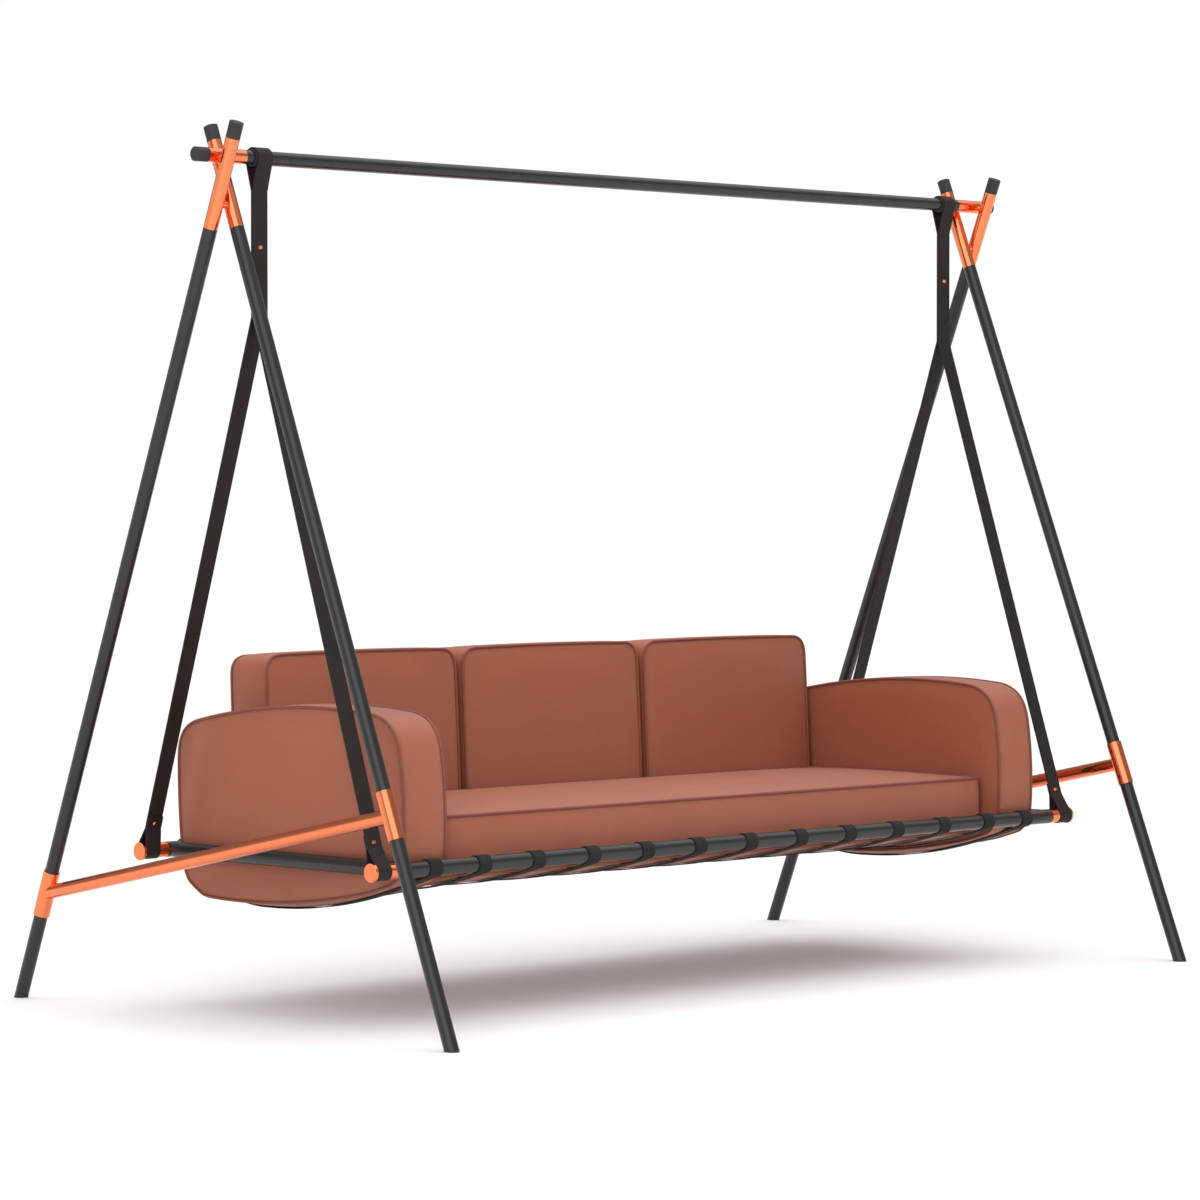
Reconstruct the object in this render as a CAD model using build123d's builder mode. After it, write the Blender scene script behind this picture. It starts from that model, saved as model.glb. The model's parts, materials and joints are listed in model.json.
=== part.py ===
"""Glider swing: a three-seat sofa hung by straps from a beam that rests in two pairs of crossed legs.

X runs along the sofa, -Y is the front, +Z is up, and the origin is on the floor under the middle.
Every size is in millimetres.
"""
import os
from math import atan2, cos, hypot, radians, sin, tan

from build123d import *

# ---- Stand ----
foot_depth = 1500.0          # between the feet of one end, front to back
cross_height = 1900.0        # where the axes of each two legs cross
hanger_x = 1219.5            # the hangers, from the middle; the legs, seat and cushions follow them
tube_diameter = 34.0
tube_wall = 2.0
leg_clearance = 85.5         # from a hanger's middle to the front leg's axis
leg_stagger = 44.0           # the rear legs pass outboard of the front ones
seam_low_drop = 54.0         # below the crossing, where black leg meets metal-coloured node
seam_high_rise = 150.0       # above the crossing, where the node meets the leg's top cap
leg_top_rise = 186.0         # centre of each leg's top face
beam_rise = 113.6
beam_end_gap = 37.0          # from the front leg's axis to the end of the black beam
beam_node_reach = 29.0       # from the rear leg's axis to the end of the node's arm
beam_cap_length = 35.0
spigot_length = 45.0
spigot_clearance = 0.05
socket_wall = 5.0            # round the blind sockets that take the end caps
socket_depth = 28.0
cap_plug_length = 24.0
saddle_diameter = 14.0
boss_diameter = 17.0
foot_pad_height = 4.0
foot_plug_length = 35.0

# ---- Side braces ----
brace_front_height = 511.0
brace_rear_height = 262.0
tee_wall = 3.0
tee_length = 115.0
tee_bore_clearance = 0.05
tee_stub_front = 27.0
tee_stub_rear = 45.0
set_screw_diameter = 6.0
set_screw_length = 2.9
set_screw_pitch = 70.0
set_screw_key = 3.0

# ---- Hangers ----
strap_ply = 4.0
strap_width = 44.0
bush_wall = 3.5
bush_clearance = 0.05
bush_margin = 2.0            # the bush shows past each side of the strap
ply_meet_drop = 78.0         # below the beam, where the strap's two plies come together
upper_rivet_drop = 208.0
split_drop = 371.0           # the strap divides here into a front and a rear branch
rivet_head = 11.0
rivet_head_height = 2.2
rivet_shank = 5.0
rivet_clearance = 0.05
boot_length = 58.0           # from the tube's axis to where the plies of the lower loop meet
lap_length = 88.0            # from the tube's axis to the lapped ply's end
lower_rivet_reach = 70.0

# ---- Seat frame ----
rail_reach = 416.0           # front and rear rails, from the middle
rail_height = 371.0
rail_diameter = 37.5
rail_wall = 2.5
rail_end_gap = 51.5          # from the end of a rail's black tube to the hanger's middle
side_rail_gap = 1.25         # a side rail's room to the rail's end, and to the arm cushion
end_collar_step = 0.5        # each radius of a turned end, inside or outside the rail's own
end_journal_step = 2.75
end_disc_step = 3.25
end_disc_thickness = 6.0
end_stud_diameter = 8.0
end_stud_length = 18.0
fit = 0.05                   # between parts that seat on each other

# ---- Slings ----
sling_width = 39.0
sling_ply = 2.6
seat_sling_count = 9
outer_sling_inset = 74.0     # from the seat cushion's end
outer_sling_pitch = 174.0
sling_low_reach = 150.0      # the lowest point lies behind the middle
seat_sling_sag = 87.0
outer_sling_sag = 94.0
arm_sling_sag = 128.0
sling_front_slope = 0.32
sling_rear_slope = 0.95
rest_gap = 0.8               # a cushion above the sling that it rests on, upright
loop_gap = 0.6               # between a cushion and the sling loops on a rail

# ---- Cushions ----
arm_width = 138.0
seat_end_gap = 12.0          # between the seat and an arm
seat_front_inset = 61.0      # from the front rail's axis
seat_back_gap = 2.6          # from the seat's rear to the foot of the back cushions
seat_rise = 113.0            # the tops, above the rails
back_rise = 472.0
arm_rise = 364.0
seat_crown = 10.0
back_end_gap = 26.0          # between an outer back cushion and the arm
back_join_gap = 28.0         # between two back cushions
back_thickness = 130.0
back_lean = 2.9              # degrees
back_corner = 45.0
back_gap = 8.6               # between a back cushion and the sling loops on the rear rail
arm_front_inset = 16.0       # the arm's furthest points, from the rails' axes
arm_rear_inset = 1.0
arm_front_rise = 124.0
arm_rear_rise = 169.0
arm_front_foot = 30.0        # the arm's lower and upper corners, in from those points
arm_rear_foot = 37.0
arm_front_shoulder = (55.0, 23.0)
arm_rear_shoulder = (30.0, 63.0)
arm_crown_lead = 60.0        # the highest point lies ahead of the middle
arm_corner = 42.0

# ---- Stays hidden in the cushions ----
stay_width = 30.0
stay_ply = 5.0
stay_pocket = 0.6            # slack round a stay in its cushion
stay_depth = 30.0            # from a back cushion's rear face to the stay's blade
back_stay_drop = 103.0       # from a cushion's top to the stay's
arm_stay_drop = 135.0
arm_stay_inset = 27.0        # from an arm's side to the middle of its stay

lean = atan2(foot_depth / 2, cross_height)
front_leg_x = hanger_x + leg_clearance
rear_leg_x = front_leg_x + leg_stagger
seam_low_height = cross_height - seam_low_drop
seam_high_height = cross_height + seam_high_rise
leg_top_height = cross_height + leg_top_rise
beam_height = cross_height + beam_rise
beam_end = front_leg_x - beam_end_gap
beam_node_end = rear_leg_x + beam_node_reach
tube_radius = tube_diameter / 2
tube_bore = tube_radius - tube_wall
spigot_radius = tube_bore - spigot_clearance
socket_radius = tube_radius - socket_wall
tee_radius = tube_radius + tee_wall
tee_bore = tube_radius + tee_bore_clearance
ply_meet_height = beam_height - ply_meet_drop
split_height = beam_height - split_drop
bush_radius = tube_radius + bush_clearance + bush_wall
bush_seat = bush_radius + fit

rail_radius = rail_diameter / 2
rail_bore = rail_radius - rail_wall
rail_seat = rail_radius + fit
rail_end = hanger_x - rail_end_gap
side_rail_x = rail_end - side_rail_gap - rail_radius
sling_loop = rail_seat + sling_ply
journal_radius = rail_radius - end_journal_step
journal_start = hanger_x - strap_width / 2 - fit
journal_end = hanger_x + strap_width / 2 + fit

arm_outer = side_rail_x - rail_radius - side_rail_gap
arm_inner = arm_outer - arm_width
arm_front = rail_reach - arm_front_inset
arm_rear = rail_reach - arm_rear_inset
seat_half_length = arm_inner - seat_end_gap
seat_front = rail_reach - seat_front_inset
seat_top = rail_height + seat_rise
back_top = rail_height + back_rise
arm_top = rail_height + arm_rise
back_slope = tan(radians(back_lean))
back_depth = back_thickness / cos(radians(back_lean))
back_offset = (sling_loop + back_gap) / cos(radians(back_lean))
seat_rear = rail_reach - back_offset - back_depth - seat_sling_sag * back_slope - seat_back_gap
back_pitch = (2 * (arm_inner - back_end_gap) + back_join_gap) / 3
back_width = back_pitch - back_join_gap
back_stay_top = back_top - back_stay_drop
arm_stay_top = arm_top - arm_stay_drop
seat_sling_low = rail_height - seat_sling_sag
outer_sling_low = rail_height - outer_sling_sag
arm_sling_low = rail_height - arm_sling_sag
outer_sling_x = seat_half_length - outer_sling_inset
seat_sling_pitch = (outer_sling_x - outer_sling_pitch) / (seat_sling_count // 2)
arm_sling_x = (arm_inner + arm_outer) / 2
sides = {"left": -1, "right": 1}
ends = {"front": -1, "rear": 1}

os.makedirs("parts", exist_ok=True)


def save(name, part):
    part.label = name
    export_step(part, f"parts/{name}.step")


# ---- Places along the legs ----
def leg_x(side, end):
    """Where a leg stands along the sofa: side is -1 or 1, and end is -1 at the front, 1 at the rear."""
    return side * (front_leg_x if end < 0 else rear_leg_x)


def leg_point(side, end, height):
    """The point on a leg's axis at a height."""
    return Vector(leg_x(side, end), end * (foot_depth / 2 - tan(lean) * height), height)


def leg_plane(side, end, height):
    """The plane square to a leg's axis, where that axis is at a height."""
    rise = (0, -end * sin(lean), cos(lean))
    return Plane(origin=leg_point(side, end, height), x_dir=(1, 0, 0), z_dir=rise)


def along_leg(low, high):
    """The length along a leg between two heights."""
    return (high - low) / cos(lean)


def across(x, y, z):
    """A plane square to the X axis, with Y to its right and Z up."""
    return Plane(origin=(x, y, z), x_dir=(0, 1, 0), z_dir=(1, 0, 0))


# ---- Legs, each a tube cut level at the floor, on a pad that plugs into it ----
foot_overrun = tube_diameter
for end_name, end in ends.items():
    for side_name, side in sides.items():
        with BuildPart() as leg:
            with BuildSketch(leg_plane(side, end, 0).offset(-foot_overrun)):
                Circle(tube_radius)
                Circle(tube_bore, mode=Mode.SUBTRACT)
            extrude(amount=foot_overrun + along_leg(0, seam_low_height))
            split(bisect_by=Plane.XY.offset(foot_pad_height), keep=Keep.TOP)
        save(f"{end_name}_{side_name}_leg", leg.part)

        with BuildPart() as pad:
            with BuildSketch(leg_plane(side, end, 0).offset(-foot_overrun)):
                Circle(tube_radius)
            extrude(amount=2 * foot_overrun)
            split(bisect_by=Plane.XY.offset(foot_pad_height), keep=Keep.BOTTOM)
            with BuildSketch(leg_plane(side, end, 0)):
                Circle(spigot_radius)
            extrude(amount=foot_plug_length)
            split(bisect_by=Plane.XY, keep=Keep.TOP)
        save(f"{end_name}_{side_name}_foot_pad", pad.part)

# ---- Crossings: one casting per end joins two legs and the beam ----
limb_length = along_leg(seam_low_height, seam_high_height)
saddle_length = (foot_depth / 2 - tan(lean) * beam_height) * -cos(lean)
for side_name, side in sides.items():
    beam_seam = Plane(origin=(side * beam_end, 0, beam_height), z_dir=(side, 0, 0))
    with BuildPart() as crossing:
        for end in ends.values():
            with BuildSketch(leg_plane(side, end, seam_low_height)):
                Circle(tube_radius)
            extrude(amount=limb_length)
            with BuildSketch(leg_plane(side, end, seam_low_height)):
                Circle(spigot_radius)
            extrude(amount=-spigot_length)
            saddle_way = (0, -end * cos(lean), -sin(lean))
            with BuildSketch(Plane(origin=(leg_x(side, end), 0, beam_height), z_dir=saddle_way)):
                Circle(saddle_diameter / 2)
            extrude(amount=saddle_length)
        with BuildSketch(beam_seam):
            Circle(tube_radius)
        extrude(amount=beam_node_end - beam_end)
        with BuildSketch(beam_seam):
            Circle(spigot_radius)
        extrude(amount=-spigot_length)
        with BuildSketch(Plane(origin=(side * front_leg_x, 0, cross_height), z_dir=(side, 0, 0))):
            Circle(boss_diameter / 2)
        extrude(amount=rear_leg_x - front_leg_x)
        for end in ends.values():
            with BuildSketch(leg_plane(side, end, seam_high_height)):
                Circle(socket_radius)
            extrude(amount=-socket_depth, mode=Mode.SUBTRACT)
        with BuildSketch(beam_seam.offset(beam_node_end - beam_end)):
            Circle(socket_radius)
        extrude(amount=-socket_depth, mode=Mode.SUBTRACT)
    save(f"{side_name}_crossing", crossing.part)


def end_cap(plane, length):
    """A round cap that stands on a plane, with a plug below it."""
    with BuildSketch(plane) as head:
        Circle(tube_radius)
    extrude(head.sketch, amount=length)
    with BuildSketch(plane) as plug:
        Circle(socket_radius - spigot_clearance)
    extrude(plug.sketch, amount=-cap_plug_length)


with BuildPart() as leg_caps:
    cap_length = along_leg(seam_high_height, leg_top_height)
    for side in sides.values():
        for end in ends.values():
            end_cap(leg_plane(side, end, seam_high_height), cap_length)
save("leg_top_caps", leg_caps.part)

with BuildPart() as beam_caps:
    for side in sides.values():
        node_face = Plane(origin=(side * beam_node_end, 0, beam_height), z_dir=(side, 0, 0))
        end_cap(node_face, beam_cap_length)
save("beam_end_caps", beam_caps.part)

with BuildPart() as beam:
    with BuildSketch(across(0, 0, beam_height)):
        Circle(tube_radius)
        Circle(tube_bore, mode=Mode.SUBTRACT)
    extrude(amount=beam_end, both=True)
save("top_beam", beam.part)

# ---- Side braces: a tee on each leg, and a tube between each two tees ----
tee_height = {-1: brace_front_height, 1: brace_rear_height}
tee_stub = {-1: tee_stub_front, 1: tee_stub_rear}


def set_screw_planes(side, end):
    """The two planes that a tee's set screws stand on, at the leg's axis and facing inboard."""
    for step in (-1, 1):
        height = tee_height[end] + step * set_screw_pitch / 2 * cos(lean)
        yield Plane(origin=leg_point(side, end, height), z_dir=(-side, 0, 0))


for side_name, side in sides.items():
    rear_joint = leg_point(side, 1, brace_rear_height)
    brace = leg_point(side, -1, brace_front_height) - rear_joint
    for end_name, end in ends.items():
        sleeve_base = leg_plane(side, end, tee_height[end]).offset(-tee_length / 2)
        stub_plane = Plane(origin=leg_point(side, end, tee_height[end]), z_dir=brace * end)
        with BuildPart() as tee:
            with BuildSketch(sleeve_base):
                Circle(tee_radius)
            extrude(amount=tee_length)
            with BuildSketch(stub_plane):
                Circle(tube_radius)
            extrude(amount=tee_stub[end])
            with BuildSketch(stub_plane):
                Circle(spigot_radius)
            extrude(amount=tee_stub[end] + spigot_length)
            with BuildSketch(sleeve_base):
                Circle(tee_bore)
            extrude(amount=tee_length, mode=Mode.SUBTRACT)
            for screw_plane in set_screw_planes(side, end):
                with BuildSketch(screw_plane):
                    Circle(set_screw_diameter / 2 + fit)
                extrude(amount=2 * tee_radius, mode=Mode.SUBTRACT)
        save(f"{end_name}_{side_name}_tee", tee.part)

    with BuildPart() as cross_brace:
        with BuildSketch(Plane(origin=rear_joint, z_dir=brace).offset(tee_stub_rear)):
            Circle(tube_radius)
            Circle(tube_bore, mode=Mode.SUBTRACT)
        extrude(amount=brace.length - tee_stub_front - tee_stub_rear)
    save(f"{side_name}_cross_brace", cross_brace.part)

with BuildPart() as set_screws:
    for side in sides.values():
        for end in ends.values():
            for screw_plane in set_screw_planes(side, end):
                with BuildSketch(screw_plane.offset(tee_bore)):
                    Circle(set_screw_diameter / 2)
                extrude(amount=set_screw_length)
                with BuildSketch(screw_plane.offset(tee_bore + set_screw_length)):
                    RegularPolygon(set_screw_key / 2, 6, major_radius=False)
                extrude(amount=-set_screw_length / 2, mode=Mode.SUBTRACT)
save("tee_set_screws", set_screws.part)


# ---- Hangers: a bush on the beam, a doubled strap over it, and two branches below ----
def drawn_ring(plane, radius, tip_distance, tip_half_width):
    """A circle at the plane's origin, drawn out along its Y axis to a flat tip."""
    with BuildSketch(plane) as outline:
        Circle(radius)
        with Locations((0, tip_distance)):
            Rectangle(2 * tip_half_width, fit)
        make_hull()
    return outline.sketch


def branch_plane(side, end):
    """At a rail's axis: Y runs up the strap to where it divides, and X to the middle of the sofa."""
    foot = Vector(side * hanger_x, end * rail_reach, rail_height)
    rise = (Vector(side * hanger_x, 0, split_height) - foot).normalized()
    inward = Vector(0, -end * rise.Z, end * rise.Y)
    return Plane(origin=foot, x_dir=inward, z_dir=inward.cross(rise))


def rivet(plane):
    """A rivet square to a plane that lies between its two plies."""
    for way in (-1, 1):
        with BuildSketch(plane.offset(way * strap_ply)) as head:
            Circle(rivet_head / 2)
        extrude(head.sketch, amount=way * rivet_head_height, taper=30)
    with BuildSketch(plane) as shank:
        Circle(rivet_shank / 2)
    extrude(shank.sketch, amount=strap_ply, both=True)


def rivet_hole(plane):
    with BuildSketch(plane) as hole:
        Circle(rivet_shank / 2 + rivet_clearance)
    extrude(hole.sketch, amount=2 * strap_ply, both=True, mode=Mode.SUBTRACT)


def upper_rivet_plane(side):
    return Plane(origin=(side * hanger_x, 0, beam_height - upper_rivet_drop), z_dir=(0, -1, 0))


def lower_rivet_plane(side, end):
    strap = branch_plane(side, end)
    return Plane(origin=strap.from_local_coords(Vector(0, lower_rivet_reach, 0)), z_dir=strap.x_dir)


for side_name, side in sides.items():
    with BuildPart() as bush:
        with BuildSketch(across(side * hanger_x, 0, beam_height)):
            Circle(bush_radius)
            Circle(tube_radius + bush_clearance, mode=Mode.SUBTRACT)
        extrude(amount=strap_width / 2 + bush_margin, both=True)
    save(f"{side_name}_hanger_bush", bush.part)

    around_beam = across(side * hanger_x, 0, beam_height)
    with BuildPart() as hanger:
        outside = drawn_ring(around_beam, bush_seat + strap_ply, -ply_meet_drop, strap_ply)
        extrude(outside, strap_width / 2, both=True)
        with BuildSketch(across(side * hanger_x, 0, (split_height + ply_meet_height) / 2)):
            Rectangle(2 * strap_ply, ply_meet_height - split_height)
        extrude(amount=strap_width / 2, both=True)
        inside = drawn_ring(around_beam, bush_seat, -ply_meet_drop, fit)
        extrude(inside, strap_width, both=True, mode=Mode.SUBTRACT)
        rivet_hole(upper_rivet_plane(side))
    save(f"{side_name}_hanger_strap", hanger.part)

    for end_name, end in ends.items():
        strap = branch_plane(side, end)
        strap_length = hypot(rail_reach, split_height - rail_height)
        journal_seat = journal_radius + fit
        with BuildPart() as branch:
            outside = drawn_ring(strap, journal_seat + strap_ply, boot_length, strap_ply)
            extrude(outside, strap_width / 2, both=True)
            with BuildSketch(strap):
                with Locations((0, boot_length)):
                    Rectangle(2 * strap_ply, lap_length - boot_length, align=(Align.CENTER, Align.MIN))
                with Locations((-strap_ply / 2, boot_length)):
                    Rectangle(strap_ply, strap_length, align=(Align.CENTER, Align.MIN))
            extrude(amount=strap_width / 2, both=True)
            inside = drawn_ring(strap, journal_seat, boot_length, fit)
            extrude(inside, strap_width, both=True, mode=Mode.SUBTRACT)
            split(bisect_by=Plane.XY.offset(split_height), keep=Keep.BOTTOM)
            rivet_hole(lower_rivet_plane(side, end))
        save(f"{end_name}_{side_name}_hanger_branch", branch.part)

with BuildPart() as upper_rivets:
    for side in sides.values():
        rivet(upper_rivet_plane(side))
save("upper_rivets", upper_rivets.part)

with BuildPart() as lower_rivets:
    for side in sides.values():
        for end in ends.values():
            rivet(lower_rivet_plane(side, end))
save("lower_rivets", lower_rivets.part)

# ---- Seat frame: two rails with turned ends, and a side rail at each end ----
for end_name, end in ends.items():
    with BuildPart() as rail:
        with BuildSketch(across(0, end * rail_reach, rail_height)):
            Circle(rail_radius)
            Circle(rail_bore, mode=Mode.SUBTRACT)
        extrude(amount=rail_end, both=True)
    save(f"{end_name}_rail", rail.part)

for side_name, side in sides.items():
    with BuildPart() as side_rail:
        with BuildSketch(Plane(origin=(side * side_rail_x, 0, rail_height), z_dir=(0, 1, 0))):
            Circle(rail_radius)
            Circle(rail_bore, mode=Mode.SUBTRACT)
        extrude(amount=rail_reach, both=True)
        for end in ends.values():
            with BuildSketch(across(0, end * rail_reach, rail_height)):
                Circle(rail_seat)
            extrude(amount=rear_leg_x, both=True, mode=Mode.SUBTRACT)
    save(f"{side_name}_side_rail", side_rail.part)


def rail_tip(side, end, distance):
    """The plane square to a rail at a distance from the middle, facing outboard."""
    return Plane(origin=(side * distance, end * rail_reach, rail_height), z_dir=(side, 0, 0))


with BuildPart() as end_fittings:
    for side in sides.values():
        for end in ends.values():
            with BuildSketch(rail_tip(side, end, rail_end)):
                Circle(rail_bore - spigot_clearance)
            extrude(amount=-spigot_length)
            with BuildSketch(rail_tip(side, end, rail_end)):
                Circle(rail_radius - end_collar_step)
            extrude(amount=journal_start - rail_end)
            with BuildSketch(rail_tip(side, end, journal_start)):
                Circle(journal_radius)
            extrude(amount=journal_end - journal_start)
            with BuildSketch(rail_tip(side, end, journal_end)):
                Circle(end_stud_diameter / 2 + fit)
            extrude(amount=-end_stud_length - 1, mode=Mode.SUBTRACT)
save("rail_end_fittings", end_fittings.part)

with BuildPart() as end_discs:
    for side in sides.values():
        for end in ends.values():
            with BuildSketch(rail_tip(side, end, journal_end)):
                Circle(rail_radius + end_disc_step)
            extrude(amount=end_disc_thickness, taper=5)
            with BuildSketch(rail_tip(side, end, journal_end)):
                Circle(end_stud_diameter / 2)
            extrude(amount=-end_stud_length)
save("rail_end_discs", end_discs.part)


# ---- Slings: each strap is sewn round both rails and sags between them ----
def sling_edge(radius, low, lift=0):
    """A sling's curve, which leaves each rail's loop at a tangent, as the current line."""
    front, rear = atan2(sling_front_slope, 1), atan2(sling_rear_slope, 1)
    return Spline(
        (-rail_reach - radius * sin(front), rail_height - radius * cos(front) + lift),
        (sling_low_reach, low + lift),
        (rail_reach + radius * sin(rear), rail_height - radius * cos(rear) + lift),
        tangents=((cos(front), -sin(front)), (1, 0), (cos(rear), sin(rear))),
    )


middle_sling = seat_sling_count // 2
sling_places = [
    (-arm_sling_x, arm_sling_low),
    (-outer_sling_x, outer_sling_low),
    *[((n - middle_sling) * seat_sling_pitch, seat_sling_low) for n in range(seat_sling_count)],
    (outer_sling_x, outer_sling_low),
    (arm_sling_x, arm_sling_low),
]
for number, (x, low) in enumerate(sling_places, 1):
    with BuildPart() as sling:
        with BuildSketch(across(x, 0, 0)):
            with BuildLine():
                under = sling_edge(sling_loop - 2 * fit, low)
                over = sling_edge(rail_seat + 2 * fit, low + sling_ply)
                Line(under @ 0, over @ 0)
                Line(under @ 1, over @ 1)
            make_face()
            for end in ends.values():
                with Locations((end * rail_reach, rail_height)):
                    Circle(sling_loop)
                    Circle(rail_seat, mode=Mode.SUBTRACT)
        extrude(amount=sling_width / 2, both=True)
    save(f"sling_strap_{number}", sling.part)


# ---- Cushions, which rest on the slings between the rails ----
def fit_to_slings(low):
    """Cuts the cushion in hand to the sag of the slings under it."""
    with BuildSketch(across(0, 0, 0)) as below:
        with BuildLine():
            edge = sling_edge(rail_seat, low + sling_ply, rest_gap)
            Polyline(edge @ 1, (foot_depth / 2, 0), (-foot_depth / 2, 0), edge @ 0)
        make_face()
    extrude(below.sketch, amount=rear_leg_x, both=True, mode=Mode.SUBTRACT)


def rail_relief():
    """Room round both rails and the sling loops on them."""
    for end in ends.values():
        with BuildSketch(across(0, end * rail_reach, rail_height)) as relief:
            Circle(sling_loop + loop_gap)
        extrude(relief.sketch, amount=rear_leg_x, both=True, mode=Mode.SUBTRACT)


def back_rear(height):
    """How far back the rear face of the back cushions is at a height."""
    return rail_reach - back_offset + (height - rail_height) * back_slope


def stay_outline(x, top, slack):
    """A stay from the side: a clamp round the rear rail, a short tab and an upright blade."""
    half = stay_ply / 2 + slack
    low, high = rail_height - half, top + slack
    with BuildSketch(across(x, 0, 0)) as outline:
        with Locations((rail_reach, rail_height)):
            Circle(rail_seat + stay_ply + slack)
        with BuildLine():
            Polyline(
                (back_rear(low) - stay_depth - half, low),
                (back_rear(high) - stay_depth - half, high),
                (back_rear(high) - stay_depth + half, high),
                (back_rear(rail_height + half) - stay_depth + half, rail_height + half),
                (rail_reach, rail_height + half),
                (rail_reach, low),
                close=True,
            )
        make_face()
    return outline.sketch


def stay_pockets(places, top):
    half = stay_width / 2 + stay_pocket
    for x in places:
        extrude(stay_outline(x, top, stay_pocket), half, both=True, mode=Mode.SUBTRACT)


def stays(places, top):
    for x in places:
        extrude(stay_outline(x, top, 0), stay_width / 2, both=True)
    with BuildSketch(across(0, rail_reach, rail_height)) as seat:
        Circle(rail_seat)
    extrude(seat.sketch, amount=rear_leg_x, both=True, mode=Mode.SUBTRACT)


right_slings = [x for x, low in sling_places if x >= 0]
back_stay_places = [(right_slings[n] + right_slings[n + 1]) / 2 for n in (0, 2, 4)]
arm_stay_places = [arm_inner + arm_stay_inset, arm_outer - arm_stay_inset]

with BuildPart() as back_stays:
    stays([side * x for side in sides.values() for x in back_stay_places], back_stay_top)
save("back_stays", back_stays.part)

with BuildPart() as arm_stays:
    stays([side * x for side in sides.values() for x in arm_stay_places], arm_stay_top)
save("arm_stays", arm_stays.part)

with BuildPart() as seat_cushion:
    with BuildSketch(across(0, 0, 0)):
        with BuildLine():
            walls = Polyline((seat_rear, seat_top), (seat_rear, 0), (-seat_front, 0), (-seat_front, seat_top))
            crown = ((seat_rear - seat_front) / 2, seat_top + seat_crown)
            ThreePointArc(walls @ 1, crown, walls @ 0)
        make_face()
    extrude(amount=seat_half_length, both=True)
    fit_to_slings(seat_sling_low)
save("seat_cushion", seat_cushion.part)

back_rear_top = back_top - back_thickness * sin(radians(back_lean))
for name, place in {"left": -1, "middle": 0, "right": 1}.items():
    with BuildPart() as back:
        with BuildSketch(across(place * back_pitch, 0, 0)):
            with BuildLine():
                Polyline(
                    (back_rear(0) - back_depth, 0),
                    (back_rear(back_top) - back_depth, back_top),
                    (back_rear(back_rear_top), back_rear_top),
                    (back_rear(0), 0),
                    close=True,
                )
            make_face()
        extrude(amount=back_width / 2, both=True)
        top_face = back.faces().sort_by(Axis.Z)[-1]
        fillet(top_face.edges().sort_by(Axis.X)[0], back_corner)
        top_face = back.faces().filter_by(GeomType.PLANE).sort_by(Axis.Z)[-1]
        fillet(top_face.edges().sort_by(Axis.X)[-1], back_corner)
        fit_to_slings(seat_sling_low)
        all_stays = [side * x for side in sides.values() for x in back_stay_places]
        stay_pockets([x for x in all_stays if abs(x - place * back_pitch) < back_width / 2], back_stay_top)
    save(f"{name}_back_cushion", back.part)

for side_name, side in sides.items():
    with BuildPart() as arm:
        with BuildSketch(across(side * arm_inner, 0, 0)):
            with BuildLine():
                front = ThreePointArc(
                    (-arm_front + arm_front_foot, arm_sling_low),
                    (-arm_front, rail_height + arm_front_rise),
                    (-arm_front + arm_front_shoulder[0], arm_top - arm_front_shoulder[1]),
                )
                rear_top = (arm_rear - arm_rear_shoulder[0], arm_top - arm_rear_shoulder[1])
                top = ThreePointArc(front @ 1, (-arm_crown_lead, arm_top), rear_top)
                rear = ThreePointArc(
                    top @ 1,
                    (arm_rear, rail_height + arm_rear_rise),
                    (arm_rear - arm_rear_foot, arm_sling_low),
                )
                Line(rear @ 1, front @ 0)
            make_face()
            fillet(vertices().sort_by(Axis.Y)[-2:], arm_corner)
        extrude(amount=side * (arm_outer - arm_inner))
        fit_to_slings(arm_sling_low)
        rail_relief()
        stay_pockets([side * x for x in arm_stay_places], arm_stay_top)
    save(f"{side_name}_arm_cushion", arm.part)
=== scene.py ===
import json
from math import cos, exp, radians, sin, tan, tau

import bpy
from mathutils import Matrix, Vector
from mathutils.bvhtree import BVHTree
from mathutils.geometry import intersect_line_line
from mathutils.kdtree import KDTree


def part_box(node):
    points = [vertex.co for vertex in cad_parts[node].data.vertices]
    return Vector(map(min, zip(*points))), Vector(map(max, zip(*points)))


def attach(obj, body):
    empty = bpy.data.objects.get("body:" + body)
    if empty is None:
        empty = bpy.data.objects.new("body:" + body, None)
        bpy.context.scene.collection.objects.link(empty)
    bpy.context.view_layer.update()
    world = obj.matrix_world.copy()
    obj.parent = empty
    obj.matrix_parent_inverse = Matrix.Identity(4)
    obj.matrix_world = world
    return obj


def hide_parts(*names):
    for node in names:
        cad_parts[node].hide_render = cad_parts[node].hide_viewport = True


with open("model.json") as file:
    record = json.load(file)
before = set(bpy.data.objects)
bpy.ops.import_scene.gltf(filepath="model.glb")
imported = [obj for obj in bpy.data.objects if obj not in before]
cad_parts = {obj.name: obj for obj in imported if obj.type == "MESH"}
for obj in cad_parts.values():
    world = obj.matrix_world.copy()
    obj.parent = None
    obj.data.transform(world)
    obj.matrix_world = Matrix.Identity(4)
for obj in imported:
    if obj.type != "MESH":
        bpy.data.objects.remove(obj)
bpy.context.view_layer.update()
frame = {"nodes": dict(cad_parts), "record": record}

mm = 0.001  # metres
swing = "swing"


def only(piece):
    bpy.ops.object.select_all(action="DESELECT")
    piece.select_set(True)
    bpy.context.view_layer.objects.active = piece


def applyAll(piece):
    only(piece)
    for modifier in list(piece.modifiers):
        bpy.ops.object.modifier_apply(modifier=modifier.name)


def wear(piece, material):
    piece.data.materials.clear()
    piece.data.materials.append(material)


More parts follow.
